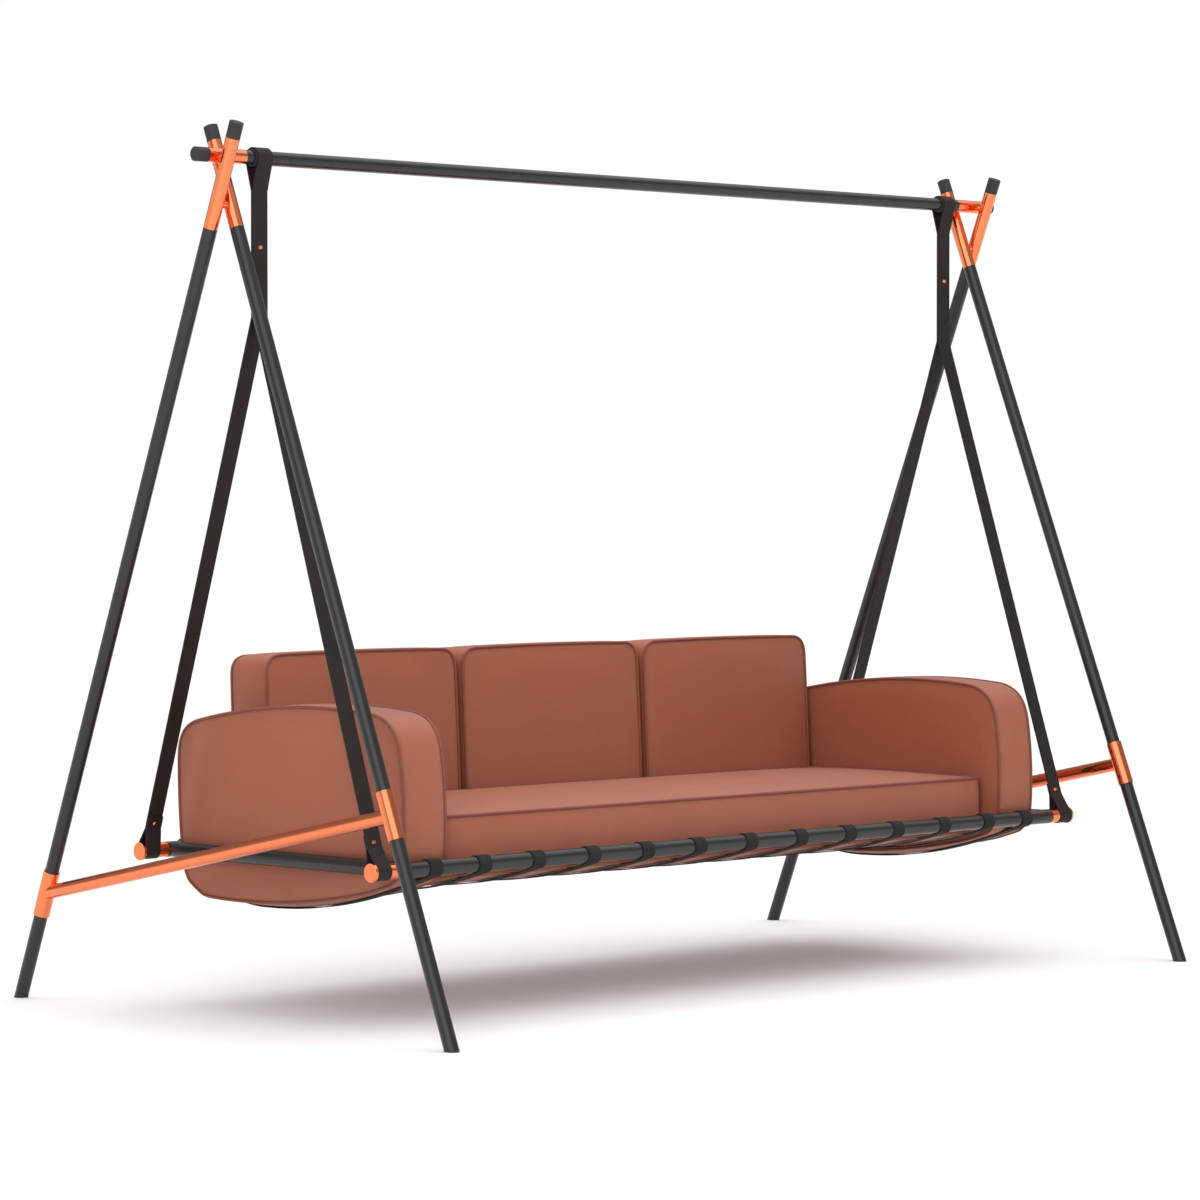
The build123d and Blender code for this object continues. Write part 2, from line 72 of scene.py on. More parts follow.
# Shader maths as Python sums: a wire is one socket of a graph.
class Wire:
    def __init__(self, graph, socket):
        self.graph, self.socket = graph, socket

    def maths(self, operation, first, second=0.0):
        return self.graph.node("ShaderNodeMath", {"operation": operation}, [first, second])[0]

    def __add__(self, other):
        return self.maths("ADD", self, other)

    __radd__ = __add__

    def __sub__(self, other):
        return self.maths("SUBTRACT", self, other)

    def __rsub__(self, other):
        return self.maths("SUBTRACT", other, self)

    def __mul__(self, other):
        return self.maths("MULTIPLY", self, other)

    __rmul__ = __mul__

    def __pow__(self, other):
        return self.maths("POWER", self, other)

    def sine(self):
        return self.maths("SINE", self)

    def ramp(self, low, high):
        # 0 up to low, 1 from high on
        return self.graph.node("ShaderNodeMapRange", {"clamp": True}, [self, low, high, 0.0, 1.0])[0]


class Graph:
    def __init__(self, owner):
        owner.use_nodes = True
        self.owner, self.tree = owner, owner.node_tree

    def node(self, kind, settings=None, inputs=()):
        made = self.tree.nodes.new(kind)
        for key, value in (settings or {}).items():
            setattr(made, key, value)
        pairs = inputs.items() if isinstance(inputs, dict) else enumerate(inputs)
        for key, value in pairs:
            self.plug(made.inputs[key], value)
        return [Wire(self, out) for out in made.outputs if out.enabled]

    def plug(self, target, value):
        if isinstance(value, Wire):
            self.tree.links.new(value.socket, target)
        elif isinstance(value, tuple) and target.type == "RGBA":
            target.default_value = (*value, 1)
        else:
            target.default_value = value

    def place(self):
        return self.node("ShaderNodeTexCoord")[3]

    def axes(self, vector=None):
        return self.node("ShaderNodeSeparateXYZ", {}, [vector or self.place()])

    def noise(self, scale, detail=3.0, rough=0.5, at=None):
        inputs = {"Vector": at or self.place(), "Scale": scale, "Detail": detail, "Roughness": rough}
        return self.node("ShaderNodeTexNoise", {}, inputs)[0]

    def cells(self, scale, feature="F1"):
        inputs = {"Vector": self.place(), "Scale": scale}
        return self.node("ShaderNodeTexVoronoi", {"feature": feature}, inputs)[0]

    def blend(self, amount, first, second):
        return self.node("ShaderNodeMix", {"data_type": "RGBA"}, {0: amount, 6: first, 7: second})[0]

    def bump(self, height, strength, distance):
        inputs = {"Strength": strength, "Distance": distance, "Height": height}
        return self.node("ShaderNodeBump", {}, inputs)[0]

    def finish(self, **sockets):
        for key, value in sockets.items():
            self.plug(self.tree.nodes["Principled BSDF"].inputs[key.replace("_", " ")], value)
        return self.owner


def newGraph(name):
    return Graph(bpy.data.materials.new(name))


copperFinish = {
    "bright": (0.94, 0.268, 0.122),
    "deep": (0.87, 0.225, 0.095),
    "roughness": 0.10,
    "smudge": 0.16,  # added where it has been handled
    "polish": 0.03,  # faint polishing marks
}


def copperMaterial():
    graph = newGraph("polishedCopper")
    smear = graph.noise(40, 5.0, 0.65)
    return graph.finish(
        Base_Color=graph.blend(graph.noise(11, 4.0, 0.6), copperFinish["bright"], copperFinish["deep"]),
        Metallic=1.0,
        Roughness=smear ** 2 * copperFinish["smudge"] + copperFinish["roughness"],
        Normal=graph.bump(graph.noise(500, 2.0), copperFinish["polish"], 0.2 * mm),
    )


tubeFinish = {
    "dark": (0.013, 0.013, 0.013),
    "light": (0.021, 0.020, 0.020),
    "roughness": 0.24,
    "rub": 0.16,  # how far the roughness wanders
    "peel": 0.08,  # the coat's fine texture
}


def tubeMaterial():
    graph = newGraph("blackPowderCoat")
    rub, spread = graph.noise(38, 5.0, 0.7), tubeFinish["rub"]
    return graph.finish(
        Base_Color=graph.blend(graph.noise(9), tubeFinish["dark"], tubeFinish["light"]),
        Roughness=rub * spread + (tubeFinish["roughness"] - spread / 2),
        Specular_IOR_Level=0.45,
        Normal=graph.bump(graph.noise(1500, 2.0, 0.6), tubeFinish["peel"], 0.12 * mm),
    )


plasticFinish = {
    "dark": (0.026, 0.027, 0.027),
    "light": (0.040, 0.041, 0.041),
    "roughness": 0.6,
    "cloud": 0.12,  # how far the roughness wanders
    "grain": 0.12,
}


def plasticMaterial(name):
    graph = newGraph(name)
    cloud, spread = graph.noise(25), plasticFinish["cloud"]
    return graph.finish(
        Base_Color=graph.blend(cloud, plasticFinish["dark"], plasticFinish["light"]),
        Roughness=cloud * spread + (plasticFinish["roughness"] - spread / 2),
        Specular_IOR_Level=0.25,
        Normal=graph.bump(graph.noise(2400, 2.0), plasticFinish["grain"], 0.1 * mm),
    )


strapFinish = {
    "dark": (0.011, 0.008, 0.007),
    "light": (0.024, 0.019, 0.017),
    "roughness": 0.6,
    "cloud": 0.14,  # how far the roughness wanders
    "cell": 620,  # grain cells in a metre
    "grain": 0.22,
}


def strapMaterial():
    graph = newGraph("strapLeather")
    cloud, spread = graph.noise(16, 4.0), strapFinish["cloud"]
    grain = graph.cells(strapFinish["cell"]) * 0.7 + graph.noise(1800, 2.0) * 0.5
    return graph.finish(
        Base_Color=graph.blend(cloud, strapFinish["dark"], strapFinish["light"]),
        Roughness=cloud * spread + (strapFinish["roughness"] - spread / 2),
        Specular_IOR_Level=0.22,
        Normal=graph.bump(grain, strapFinish["grain"], 0.25 * mm),
    )


webbingFinish = {
    "dark": (0.012, 0.012, 0.011),
    "light": (0.034, 0.033, 0.031),
    "roughness": 0.9,
    "worn": 0.12,  # the ribs' tops are smoother by this
    "rib": 1.6 * mm,
}


def webbingMaterial():
    graph = newGraph("blackWebbing")
    x, y, z = graph.axes()
    turn = tau / webbingFinish["rib"]
    weave = ((x * turn).sine() * 0.5 + 0.5) * (((y + z * 0.6) * (turn * 0.8)).sine() * 0.5 + 0.5)
    cloud = graph.noise(30)
    return graph.finish(
        Base_Color=graph.blend(weave * 0.6 + cloud * 0.4, webbingFinish["dark"], webbingFinish["light"]),
        Roughness=webbingFinish["roughness"] - weave * webbingFinish["worn"],
        Specular_IOR_Level=0.2,
        Normal=graph.bump(weave, 0.35, 0.35 * mm),
    )


leatherFinish = {
    "fair": (0.345, 0.112, 0.063),
    "warm": (0.300, 0.092, 0.050),
    # painted shade: the dark tone that the leather along seams and the piping are blended toward
    "paintedSeamShade": (0.120, 0.030, 0.016),
    "roughness": 0.52,
    "mottle": 0.16,  # how far the roughness wanders
    "cell": 430,  # grain cells in a metre
    "grain": 0.14,
    "seamShade": 0.68,  # how dark the painted shade is along a seam
    # how far the piping is blended toward the painted shade tone
    "pipingShade": 0.55,
    "pucker": 3.0,
}


def leatherMaterial(name, piped):
    graph = newGraph(name)
    mottle, spread = graph.noise(60, 4.0, 0.6), leatherFinish["mottle"]
    patchy = graph.noise(5.5, 4.0, 0.55) * 0.7 + mottle * 0.3
    tone = graph.blend(patchy, leatherFinish["fair"], leatherFinish["warm"])
    grain = graph.cells(leatherFinish["cell"]) * 0.8 + graph.noise(1300, 3.0, 0.6) * 0.4
    # the piping is darkened toward the painted shade tone, for the dark lines of shade along the cords
    if piped:
        tone = graph.blend(leatherFinish["pipingShade"], tone, leatherFinish["paintedSeamShade"])
    else:
        # painted shade: the leather darkens near a seam, where shade falls into the fold
        seam = graph.node("ShaderNodeAttribute", {"attribute_name": "seam"})[2]
        tone = graph.blend(seam * leatherFinish["seamShade"], tone, leatherFinish["paintedSeamShade"])
        grain = grain + graph.noise(85) * seam * leatherFinish["pucker"]  # small puckers along a seam
    return graph.finish(
        Base_Color=tone,
        Roughness=mottle * spread + (leatherFinish["roughness"] - spread / 2),
        Specular_IOR_Level=0.3,
        Sheen_Weight=0.06,
        Sheen_Roughness=0.45,
        Normal=graph.bump(grain, leatherFinish["grain"], 0.35 * mm),
    )


steelFinish = {
    "dark": (0.06, 0.058, 0.056),
    "light": (0.12, 0.115, 0.11),
    "roughness": 0.28,
    "streak": 0.2,  # rougher by up to this
}


def steelMaterial():
    graph = newGraph("blackenedSteel")
    streak = graph.noise(700)
    return graph.finish(
        Base_Color=graph.blend(streak, steelFinish["dark"], steelFinish["light"]),
        Metallic=1.0,
        Roughness=streak * steelFinish["streak"] + steelFinish["roughness"],
        Normal=graph.bump(streak, 0.05, 0.1 * mm),
    )


finishes = {
    "black_tube": tubeMaterial(),
    "black_plastic": plasticMaterial("mouldedPlastic"),
    "bush_plastic": plasticMaterial("bushNylon"),
    "copper": copperMaterial(),
    "screw_steel": steelMaterial(),
    "stay_steel": steelMaterial(),
    "strap": strapMaterial(),
    "webbing": webbingMaterial(),
}
leather = leatherMaterial("terracottaLeather", False)
pipingLeather = leatherMaterial("pipingLeather", True)
for subpart in frame["record"]["subparts"]:
    if subpart["material_slot"] in finishes:
        wear(frame["nodes"][subpart["node"]], finishes[subpart["material_slot"]])
print("materials on the frame")

# What the cushions rest on and between: the rails, and the slings round them.
rest = {
    "room": 0.6 * mm,  # over a sling
    "loopRoom": 0.8 * mm,  # round a rail and its sling
    "step": 5 * mm,  # between the heights that are read from a sling
    "reach": 45 * mm,  # from a sling's edge to where a cushion sags most
}
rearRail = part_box("rear_rail")
railRadius = (rearRail[1].z - rearRail[0].z) / 2
railHeight = (rearRail[1].z + rearRail[0].z) / 2
railReach = (rearRail[1].y + rearRail[0].y) / 2
slingNodes = [node for node in frame["nodes"] if node.startswith("sling_strap")]
slingNodes.sort(key=lambda node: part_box(node)[0].x)
slingBoxes = [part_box(node) for node in slingNodes]
slingLoop = slingBoxes[0][1].y - railReach + rest["loopRoom"]
slingMiddles = [(low.x + high.x) / 2 for low, high in slingBoxes]
slingHalf = (slingBoxes[0][1].x - slingBoxes[0][0].x) / 2


def slingTop(number):
    # the height of a sling's upper side at any reach, read from its mesh
    graph = bpy.context.evaluated_depsgraph_get()
    tree = BVHTree.FromObject(frame["nodes"][slingNodes[number]], graph)
    middle = slingMiddles[number] + 0.3 * mm  # not along an edge of the mesh
    start = railHeight - 6 * mm  # under the loops' upper halves
    step, heights = rest["step"], {}
    count = int((railReach - railRadius) / step)
    for k in range(-count, count + 1):
        hit = tree.ray_cast(Vector((middle, k * step, start)), Vector((0, 0, -1)))[0]
        if hit:
            heights[k] = hit.z
    first, last = min(heights), max(heights)

    def look(y):
        k = max(first, min(last - 0.001, y / step))
        low = int(k // 1)
        return heights[low] + (heights[low + 1] - heights[low]) * (k - low)

    return look


overSeatSlings = slingTop(len(slingNodes) // 2)
overArmSling = slingTop(0)


def restOnSlings(spot, look, sag):
    # a cushion lies on its slings and sags a little between them
    between = max(0, min(abs(spot.x - middle) for middle in slingMiddles) - slingHalf)
    floor = look(spot.y) + rest["room"] - sag * min(1, between / rest["reach"])
    return Vector((spot.x, spot.y, max(spot.z, floor)))


def clearOfRails(spot, room=0.0):
    # pushed straight out of the sling loops round the two rails
    for reach in (-railReach, railReach):
        off = Vector((spot.y - reach, spot.z - railHeight))
        if off.length < slingLoop + room:
            off = off.normalized() * (slingLoop + room)
            spot = Vector((spot.x, reach + off.x, railHeight + off.y))
    return spot


# An outline of four bowed sides with eased corners, from the middle of one corner to the next.
def boxOutline(corners, bows, easings):
    corners = [Vector(corner) for corner in corners]
    runs = [corners[(k + 1) % 4] - corners[k] for k in range(4)]
    outs = [Vector((run.y, -run.x)).normalized() for run in runs]

    def spot(k, t):
        return corners[k] + runs[k] * t + outs[k] * (4 * t * (1 - t) * bows[k])

    def heading(k, t):
        return runs[k] + outs[k] * (4 * (1 - 2 * t) * bows[k])

    def corner(k):
        before = (k - 1) % 4
        leave, join = 1 - easings[k] / runs[before].length, easings[k] / runs[k].length
        start, end = spot(before, leave), spot(k, join)
        first, last = start.to_3d(), end.to_3d()
        lines = (first, first + heading(before, leave).to_3d(), last, last + heading(k, join).to_3d())
        middle = intersect_line_line(*lines)[0].to_2d()
        shares = [n / 16 for n in range(17)]
        turn = [start * (1 - t) ** 2 + middle * (2 * t * (1 - t)) + end * t ** 2 for t in shares]
        return turn, join, leave

    turns = [corner(k) for k in range(4)]
    sides = []
    for k in range(4):
        after = (k + 1) % 4
        join, leave = turns[k][1], turns[after][2]
        straight = [spot(k, join + (leave - join) * n / 40) for n in range(1, 40)]
        sides.append(turns[k][0][8:] + straight + turns[after][0][:9])
    return sides


def along(side, share):
    # the point at a share of a side's length
    lengths = [0]
    for before, after in zip(side, side[1:]):
        lengths.append(lengths[-1] + (after - before).length)
    target = share * lengths[-1]
    for k in range(1, len(lengths)):
        if lengths[k] >= target - 1e-9:
            part = (target - lengths[k - 1]) / (lengths[k] - lengths[k - 1])
            return side[k - 1].lerp(side[k], part)


def evenBlock(name, counts):
    # a closed block of quads, one by one by one, that a cushion is shaped from
    across, upwards, rings = counts
    bpy.ops.object.select_all(action="DESELECT")
    bpy.ops.mesh.primitive_grid_add(
        x_subdivisions=across, y_subdivisions=upwards, size=1, location=(0.5, 0.5, 0)
    )
    block = bpy.context.active_object
    block.name = block.data.name = name
    bpy.ops.object.transform_apply(location=True)
    bpy.ops.object.mode_set(mode="EDIT")
    bpy.ops.mesh.select_all(action="SELECT")
    for ring in range(rings):
        bpy.ops.mesh.extrude_region_move(TRANSFORM_OT_translate={"value": (0, 0, 1 / rings)})
    bpy.ops.mesh.select_all(action="SELECT")
    bpy.ops.mesh.normals_make_consistent(inside=False)
    bpy.ops.object.mode_set(mode="OBJECT")
    return block


def roundShare(u, v, counts):
    # how far round the outline a rim point is, from 0 to 4
    across, upwards = counts[0], counts[1]
    if v < 0.5 / upwards:
        return u
    if u > 1 - 0.5 / across:
        return 1 + v
    if v > 1 - 0.5 / upwards:
        return 3 - u
    return 4 - v


def makeForm(name, sides, counts, place, swell):
    # shapes the block: its two broad sides fill the outline, and its band is fuller in the middle
    block = evenBlock(name, counts)
    across, upwards = counts[0], counts[1]
    bottom, right, top, left = sides
    lows = [along(bottom, k / across) for k in range(across + 1)]
    highs = [along(top, 1 - k / across) for k in range(across + 1)]
    rights = [along(right, k / upwards) for k in range(upwards + 1)]
    lefts = [along(left, 1 - k / upwards) for k in range(upwards + 1)]
    rims = ([], [])
    flat = {}
    for vertex in block.data.vertices:
        u, v, w = vertex.co
        i, j = round(u * across), round(v * upwards)
        if (i, j) not in flat:
            flat[i, j] = (
                lows[i] * (1 - v) + highs[i] * v + lefts[j] * (1 - u) + rights[j] * u
                - lows[0] * ((1 - u) * (1 - v)) - lows[-1] * (u * (1 - v))
                - highs[0] * ((1 - u) * v) - highs[-1] * (u * v)
            )
        spot = flat[i, j]
        edge = i in (0, across) or j in (0, upwards)
        if edge:
            if w < 0.001 or w > 0.999:
                rims[w > 0.5].append((roundShare(u, v, counts), vertex.index))
            else:
                share = roundShare(u, v, counts)
                before, after = (along(sides[int(s % 4)], s % 1) for s in (share - 0.004, share + 0.004))
                out = Vector((after.y - before.y, before.x - after.x)).normalized()
                spot = spot + out * (4 * w * (1 - w) * swell(spot, out))
        vertex.co = place(spot, w)
    only(block)
    bpy.ops.object.mode_set(mode="EDIT")
    bpy.ops.mesh.select_all(action="SELECT")
    bpy.ops.mesh.normals_make_consistent(inside=False)
    bpy.ops.object.mode_set(mode="OBJECT")
    return block, [[index for share, index in sorted(rim)] for rim in rims]


clothFinish = {"stiffness": 15, "shear": 8, "bending": 1.5, "mass": 0.3, "steps": 20}


def padOut(piece, rims, pad, keepClear):
    # blown up as cloth that is held at its seams, and kept clear of what it rests on
    start = [vertex.co.copy() for vertex in piece.data.vertices]
    held = piece.vertex_groups.new(name="held")
    held.add([index for rim in rims for index in rim], 1.0, "REPLACE")
    cloth = piece.modifiers.new("blown", "CLOTH")
    cloth.settings.quality = 5
    cloth.settings.mass = clothFinish["mass"]
    cloth.settings.tension_stiffness = clothFinish["stiffness"]
    cloth.settings.compression_stiffness = clothFinish["stiffness"]
    cloth.settings.shear_stiffness = clothFinish["shear"]
    cloth.settings.bending_stiffness = clothFinish["bending"]
    cloth.settings.use_pressure = True
    cloth.settings.uniform_pressure_force = pad["pressure"]
    cloth.settings.vertex_group_mass = "held"
    cloth.settings.effector_weights.gravity = 0
    cloth.collision_settings.use_collision = False
    for step in range(1, clothFinish["steps"] + 1):
        bpy.context.scene.frame_set(step)
    blown = piece.evaluated_get(bpy.context.evaluated_depsgraph_get())
    moved = [vertex.co.copy() for vertex in blown.data.vertices]
    piece.modifiers.remove(cloth)
    piece.vertex_groups.clear()
    bpy.context.scene.frame_set(1)
    shifts = [after - before for before, after in zip(start, moved)]
    print(piece.name, "swells by", round(max(shift.length for shift in shifts) / mm, 1), "mm")
    for vertex, before, shift in zip(piece.data.vertices, start, shifts):
        if shift.length > pad["cap"]:
            shift = shift * (pad["cap"] / shift.length)
        vertex.co = before + shift
    for vertex in piece.data.vertices:
        vertex.co = keepClear(vertex.co)
    seams = [[piece.data.vertices[index].co.copy() for index in rim] for rim in rims]
    fine = piece.modifiers.new("fine", "SUBSURF")
    fine.levels = fine.render_levels = 1
    applyAll(piece)
    tree = KDTree(sum(len(seam) for seam in seams))
    for number, spot in enumerate(spot for seam in seams for spot in seam):
        tree.insert(spot, number)
    tree.balance()
    # closeness to a seam, which sets the painted seam shade and the small puckers
    paintedSeamShade = piece.data.attributes.new("seam", "FLOAT", "POINT")
    for vertex in piece.data.vertices:
        paintedSeamShade.data[vertex.index].value = exp(-((tree.find(vertex.co)[2] / pad["paintedSeamShade"]) ** 2))
    only(piece)
    bpy.ops.object.shade_smooth()
    return seams


def addPiping(name, path, pad):
    # a round cord covered in leather, sewn into a seam
    curve = bpy.data.curves.new(name, "CURVE")
    curve.dimensions = "3D"
    curve.bevel_depth = pad["piping"]
    curve.bevel_resolution = 2
    spline = curve.splines.new("NURBS")
    spline.points.add(len(path) - 1)
    for point, spot in zip(spline.points, path):
        point.co = (*spot, 1)
    spline.use_cyclic_u = True
    spline.order_u = 3
    spline.resolution_u = 2
    piping = bpy.data.objects.new(name, curve)
    bpy.context.scene.collection.objects.link(piping)
    only(piping)
    bpy.ops.object.convert(target="MESH")
    wear(piping, pipingLeather)
    bpy.ops.object.shade_smooth()
    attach(piping, swing)


def finishCushion(cushion, node):
    wear(cushion, leather)
    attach(cushion, swing)
    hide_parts(node)


def mirrored(piece, name):
    # a copy on the other side of the sofa's middle, with its own mesh
    twin = piece.copy()
    twin.data = piece.data.copy()
    twin.name = twin.data.name = name
    bpy.context.scene.collection.objects.link(twin)
    for vertex in twin.data.vertices:
        vertex.co.x = -vertex.co.x
    only(twin)
    bpy.ops.object.mode_set(mode="EDIT")
    bpy.ops.mesh.select_all(action="SELECT")
    bpy.ops.mesh.flip_normals()
    bpy.ops.object.mode_set(mode="OBJECT")
    return twin


armPad = {
    # shares of the CAD piece's depth and height: lower front, lower rear, upper rear, upper front
    "corners": [(0.022, 0.181), (0.962, 0.042), (0.993, 0.864), (0.048, 0.955)],
    "bows": [34 * mm, 12 * mm, 37 * mm, 19 * mm],
    "easings": [65 * mm, 92 * mm, 70 * mm, 82 * mm],
    "sag": 20 * mm,  # at the rear, beside the sling
    "sagRun": 250 * mm,  # from the middle of the depth to where the sag is full
    "seatGap": 4 * mm,
    "railGap": 0.8 * mm,
    "insets": (4 * mm, 4.5 * mm),  # of the inner and outer seams
    "counts": (84, 46, 14),
    "band": 4 * mm,
    "underside": 40 * mm,  # the most that the underside reaches down to its sling
    "pressure": 4.0,
    "cap": 5 * mm,
    # how far the painted seam shade reaches
    "paintedSeamShade": 5.5 * mm,
    "piping": 3.6 * mm,
}


def makeArms():
    low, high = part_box("right_arm_cushion")
    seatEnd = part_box("seat_cushion")[1].x + armPad["seatGap"]
    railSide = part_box("right_side_rail")[0].x - armPad["railGap"]
    depth, height = high.y - low.y, high.z - low.z
    corners = [(low.y + depth * u, low.z + height * v) for u, v in armPad["corners"]]
    sides = boxOutline(corners, armPad["bows"], armPad["easings"])
    inner, outer = low.x + armPad["insets"][0], high.x - armPad["insets"][1]

    def place(spot, w):
        return Vector((inner + (outer - inner) * w, spot.x, spot.y))

    def swell(spot, out):
        down = max(0, -out.y)
        drop = max(0, spot.y - overArmSling(spot.x) - 1 * mm)
        return armPad["band"] * (1 - down) + min(armPad["underside"], drop) * down ** 2

    def keepClear(spot, room=0.0):
        spot = clearOfRails(spot, room)
        rearward = max(0, min(1, spot.y / armPad["sagRun"]))
        spot = restOnSlings(spot, overArmSling, armPad["sag"] * rearward)
        # it may spread again over and under the side rail
        beside = railSide + 0.5 * max(0, abs(spot.z - railHeight) - railRadius * 0.8)
        return Vector((max(seatEnd, min(spot.x, beside - room)), spot.y, spot.z))

    arm, rims = makeForm("rightArm", sides, armPad["counts"], place, swell)
    seams = padOut(arm, rims, armPad, keepClear)
    twin = mirrored(arm, "leftArm")
    finishCushion(arm, "right_arm_cushion")
    finishCushion(twin, "left_arm_cushion")
    for word, seam in zip(("Inner", "Outer"), seams):
        path = [keepClear(spot, armPad["piping"]) for spot in seam]
        addPiping(f"rightArm{word}Piping", path, armPad)
        addPiping(f"leftArm{word}Piping", [Vector((-p.x, p.y, p.z)) for p in path], armPad)


makeArms()
print("arms padded")

seatPad = {
    "edge": 4 * mm,
    "bows": [3 * mm, 2 * mm, 0, 2 * mm],
    "easing": 34 * mm,
    "height": 480 * mm,
    "lift": 5 * mm,  # of the lower seam over the slings
    "sag": 3 * mm,  # between the slings
    "spread": 3 * mm,  # the most it may stand out at its ends
    "counts": (150, 48, 14),
    "band": 5 * mm,
    "crown": 8 * mm,
    "pressure": 3.0,
    "cap": 6 * mm,
    # how far the painted seam shade reaches
    "paintedSeamShade": 5.5 * mm,
    "piping": 3.6 * mm,
}


def makeSeat():
    low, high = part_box("seat_cushion")
    edge = seatPad["edge"]
    left, right, front, rear = low.x + edge, high.x - edge, low.y + edge, high.y - edge
    corners = [(left, front), (right, front), (right, rear), (left, rear)]
    sides = boxOutline(corners, seatPad["bows"], [seatPad["easing"]] * 4)
    end = high.x + seatPad["spread"]

    def place(spot, w):
        u, v = (spot.x - left) / (right - left), (spot.y - front) / (rear - front)
        bottom = overSeatSlings(spot.y) + seatPad["lift"]
        crown = seatPad["crown"] * max(0, 16 * u * (1 - u) * v * (1 - v)) ** 0.5 * w
        return Vector((spot.x, spot.y, bottom * (1 - w) + seatPad["height"] * w + crown))

    def swell(spot, out):
        return seatPad["band"]

    def keepClear(spot):
        spot = restOnSlings(spot, overSeatSlings, seatPad["sag"])
        return Vector((max(-end, min(end, spot.x)), max(spot.y, -railReach + slingLoop), spot.z))

    seat, rims = makeForm("seatCushion", sides, seatPad["counts"], place, swell)
    seams = padOut(seat, rims, seatPad, keepClear)
    finishCushion(seat, "seat_cushion")
    for word, seam in zip(("Lower", "Upper"), seams):
        addPiping(f"seat{word}Piping", [keepClear(spot) for spot in seam], seatPad)


makeSeat()
print("seat padded")

backPad = {
    "lean": 2.9,  # degrees
    "thickness": 130 * mm,
    "topInset": 5 * mm,
    "easings": [30 * mm, 30 * mm, 46 * mm, 46 * mm],
    "bows": [0, 2 * mm, 3 * mm, 2 * mm],
    "lift": 5 * mm,  # of the lower seams over the slings
    "counts": (60, 50, 14),
    "band": 5 * mm,
    "pressure": 4.0,
    "cap": 7 * mm,
    # how far the painted seam shade reaches
    "paintedSeamShade": 5.5 * mm,
    "piping": 3.6 * mm,
}


def makeBacks():
    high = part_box("middle_back_cushion")[1]
    slope, thickness = radians(backPad["lean"]), backPad["thickness"]
    drop = thickness * sin(slope)  # the rear edge of the top is lower by this
    frontTop, half = high.z - backPad["topInset"], high.x
    rearFoot = high.y - (high.z - drop - railHeight) * tan(slope)
    floor = overSeatSlings(rearFoot)
    tall = frontTop - floor
    corners = [(-half, 0), (half, 0), (half, tall), (-half, tall)]
    sides = boxOutline(corners, backPad["bows"], backPad["easings"])

    def place(spot, w):
        share, z = spot.y / tall, floor + spot.y
        top = frontTop - drop * w
        for turn in range(3):  # the reach and the height depend on each other
            y = rearFoot + (z - railHeight) * tan(slope) - thickness * (1 - w)
            bottom = overSeatSlings(y) + backPad["lift"]
            z = bottom + share * (top - bottom)
        return Vector((spot.x, y, z))

    def swell(spot, out):
        return backPad["band"]

    def keepClear(spot, room=0.0):
        return restOnSlings(clearOfRails(spot, room), overSeatSlings, 0)

    back, rims = makeForm("middleBack", sides, backPad["counts"], place, swell)
    seams = padOut(back, rims, backPad, keepClear)
    backs = []
    for name in ("middle", "left", "right"):
        node = f"{name}_back_cushion"
        shift = (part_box(node)[0].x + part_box(node)[1].x) / 2
        cushion = back
        if name != "middle":
            cushion = back.copy()
            cushion.data = back.data.copy()
            cushion.name = cushion.data.name = f"{name}Back"
            bpy.context.scene.collection.objects.link(cushion)
            for vertex in cushion.data.vertices:
                vertex.co.x += shift
        for word, seam in zip(("Front", "Rear"), seams):
            path = [keepClear(spot, backPad["piping"]) + Vector((shift, 0, 0)) for spot in seam]
            addPiping(f"{name}Back{word}Piping", path, backPad)
        backs.append((cushion, node))
    for cushion, node in backs:
        finishCushion(cushion, node)


makeBacks()
print("backs padded")

studio = {
    "floor": 60.0,
    "floorTone": (0.66, 0.645, 0.64),
    "floorGlow": 0.14,
    "overhead": 3.2,
    "horizon": 1.0,
    "panel": 1.5,
    "dim": 0.34,  # from all other directions
    "metalShare": 0.5,  # of the overhead light, in reflections
    "fill": 360.0,
    "fillPlace": (-7.6, -5.2, 4.5),
    "fillAim": (0, 0, 0.6),
    "fillSize": 4.0,
}


def makeFloor():
    bpy.ops.object.select_all(action="DESELECT")
    bpy.ops.mesh.primitive_plane_add(size=studio["floor"], location=(0, 0, 0))
    floor = bpy.context.active_object
    floor.name = "studioFloor"
    wear(floor, newGraph("paleFloor").finish(
        Base_Color=studio["floorTone"],
        Roughness=0.9,
        Specular_IOR_Level=0.1,
        Emission_Color=(1.0, 1.0, 1.0),
        Emission_Strength=studio["floorGlow"],
    ))


def aimed(name, data, place, ahead):
    # a lamp or camera at its place, looking ahead
    item = bpy.data.objects.new(name, data)
    item.location = place
    item.rotation_euler = ahead.to_track_quat("-Z", "Y").to_euler()
    bpy.context.scene.collection.objects.link(item)
    return item


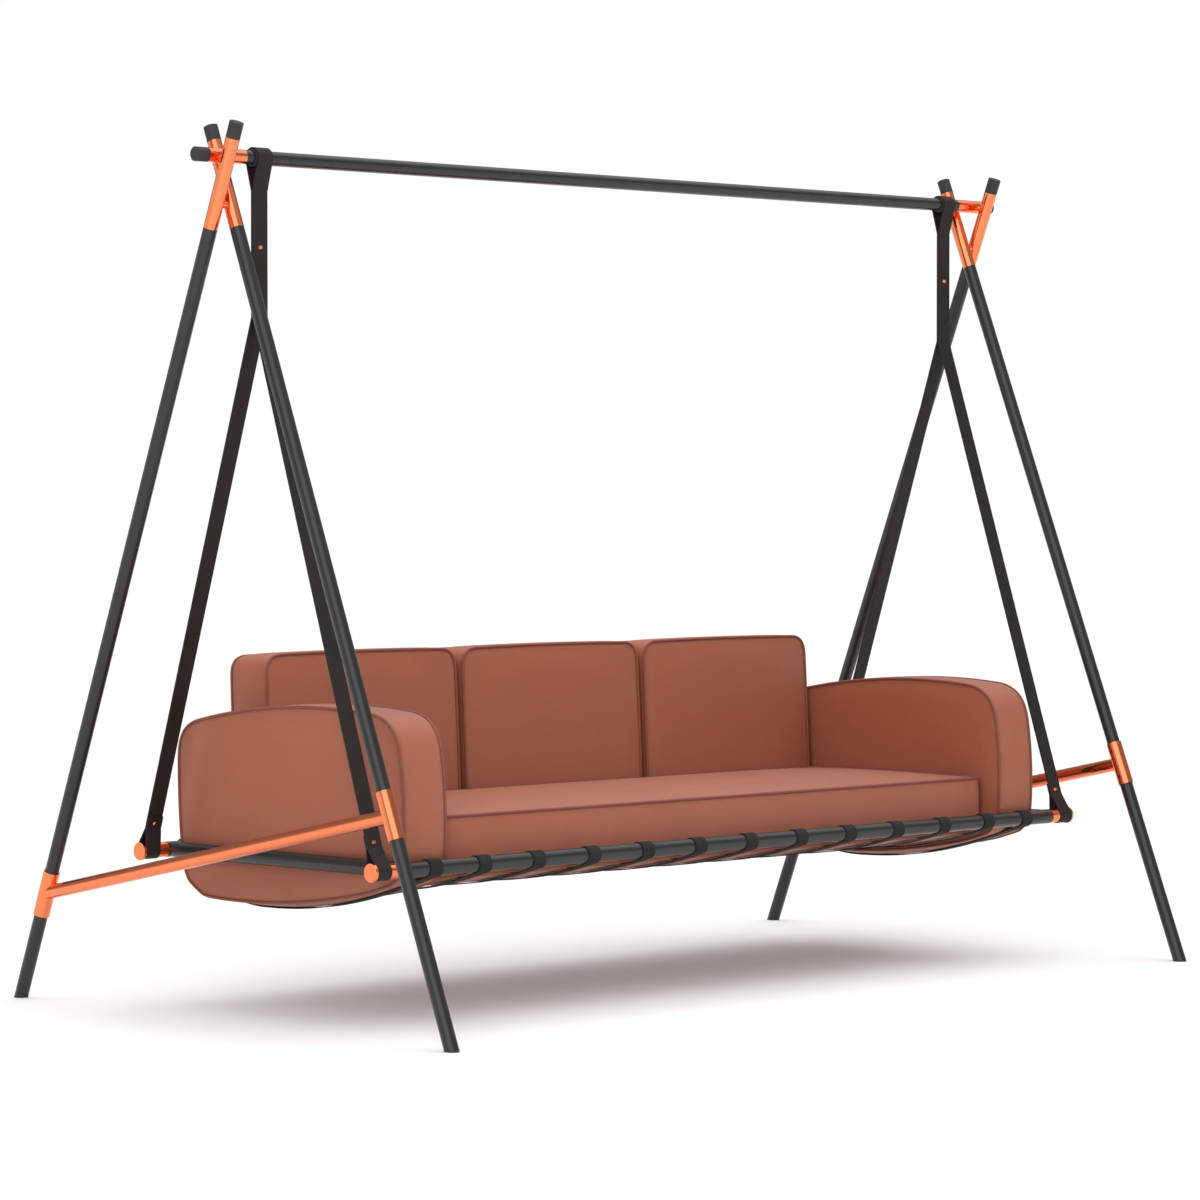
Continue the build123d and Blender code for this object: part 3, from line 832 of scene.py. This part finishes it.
def makeFill():
    data = bpy.data.lights.new("fill", "AREA")
    data.shape = "SQUARE"
    data.size = studio["fillSize"]
    data.energy = studio["fill"]
    ahead = Vector(studio["fillAim"]) - Vector(studio["fillPlace"])
    light = aimed("fill", data, studio["fillPlace"], ahead)
    light.visible_glossy = False  # it lifts the leather and leaves the metal's reflections alone


def makeWorld():
    # bright overhead and along the horizon, dim between, and a soft panel that only reflections show
    world = bpy.data.worlds.new("studio")
    bpy.context.scene.world = world
    graph = Graph(world)
    path = graph.node("ShaderNodeLightPath")
    camera, glossy = path[0], path[3]
    x, y, z = graph.axes(graph.node("ShaderNodeTexCoord")[0])
    overhead = (x * 0.20 + y * 0.02 + z * 0.98).ramp(0.62, 0.94) * (1 - glossy * studio["metalShare"])
    horizon = (1 - z.ramp(0.10, 0.26)) * (1 - (x * 0.70 + y * 0.71).ramp(0.4, 0.8) * 0.7)
    panel = (z * 0.44 - x * 0.66 - y * 0.61).ramp(0.80, 0.86) * glossy
    strip = x.ramp(-0.28, -0.26) * (1 - x.ramp(-0.22, -0.20)) * (1 - y.ramp(-0.2, 0.0))
    level = overhead * (studio["overhead"] - studio["dim"])
    level = level + horizon * (studio["horizon"] - studio["dim"])
    level = (level + panel * studio["panel"] + studio["dim"]) * (1 - strip * 0.85)
    around = graph.node("ShaderNodeBackground", {}, [(1.0, 1.0, 1.0), level])[0]
    seen = graph.node("ShaderNodeBackground", {}, [(1.0, 1.0, 1.0), 1.0])[0]
    mix = graph.node("ShaderNodeMixShader", {}, [camera, around, seen])[0]
    graph.plug(graph.tree.nodes["World Output"].inputs[0], mix)


view = {"place": (-7.860, -7.810, 1.254), "yaw": 44.82, "pitch": -1.52, "lens": 131.2}


def makeCamera():
    data = bpy.data.cameras.new("camera")
    data.lens = view["lens"]
    data.sensor_width = 36
    data.clip_end = 200
    yaw, pitch = radians(view["yaw"]), radians(view["pitch"])
    ahead = Vector((sin(yaw) * cos(pitch), cos(yaw) * cos(pitch), sin(pitch)))
    bpy.context.scene.camera = aimed("camera", data, view["place"], ahead)


makeFloor()
makeWorld()
makeFill()
makeCamera()
bpy.context.scene.view_settings.view_transform = "Standard"
print("studio ready")
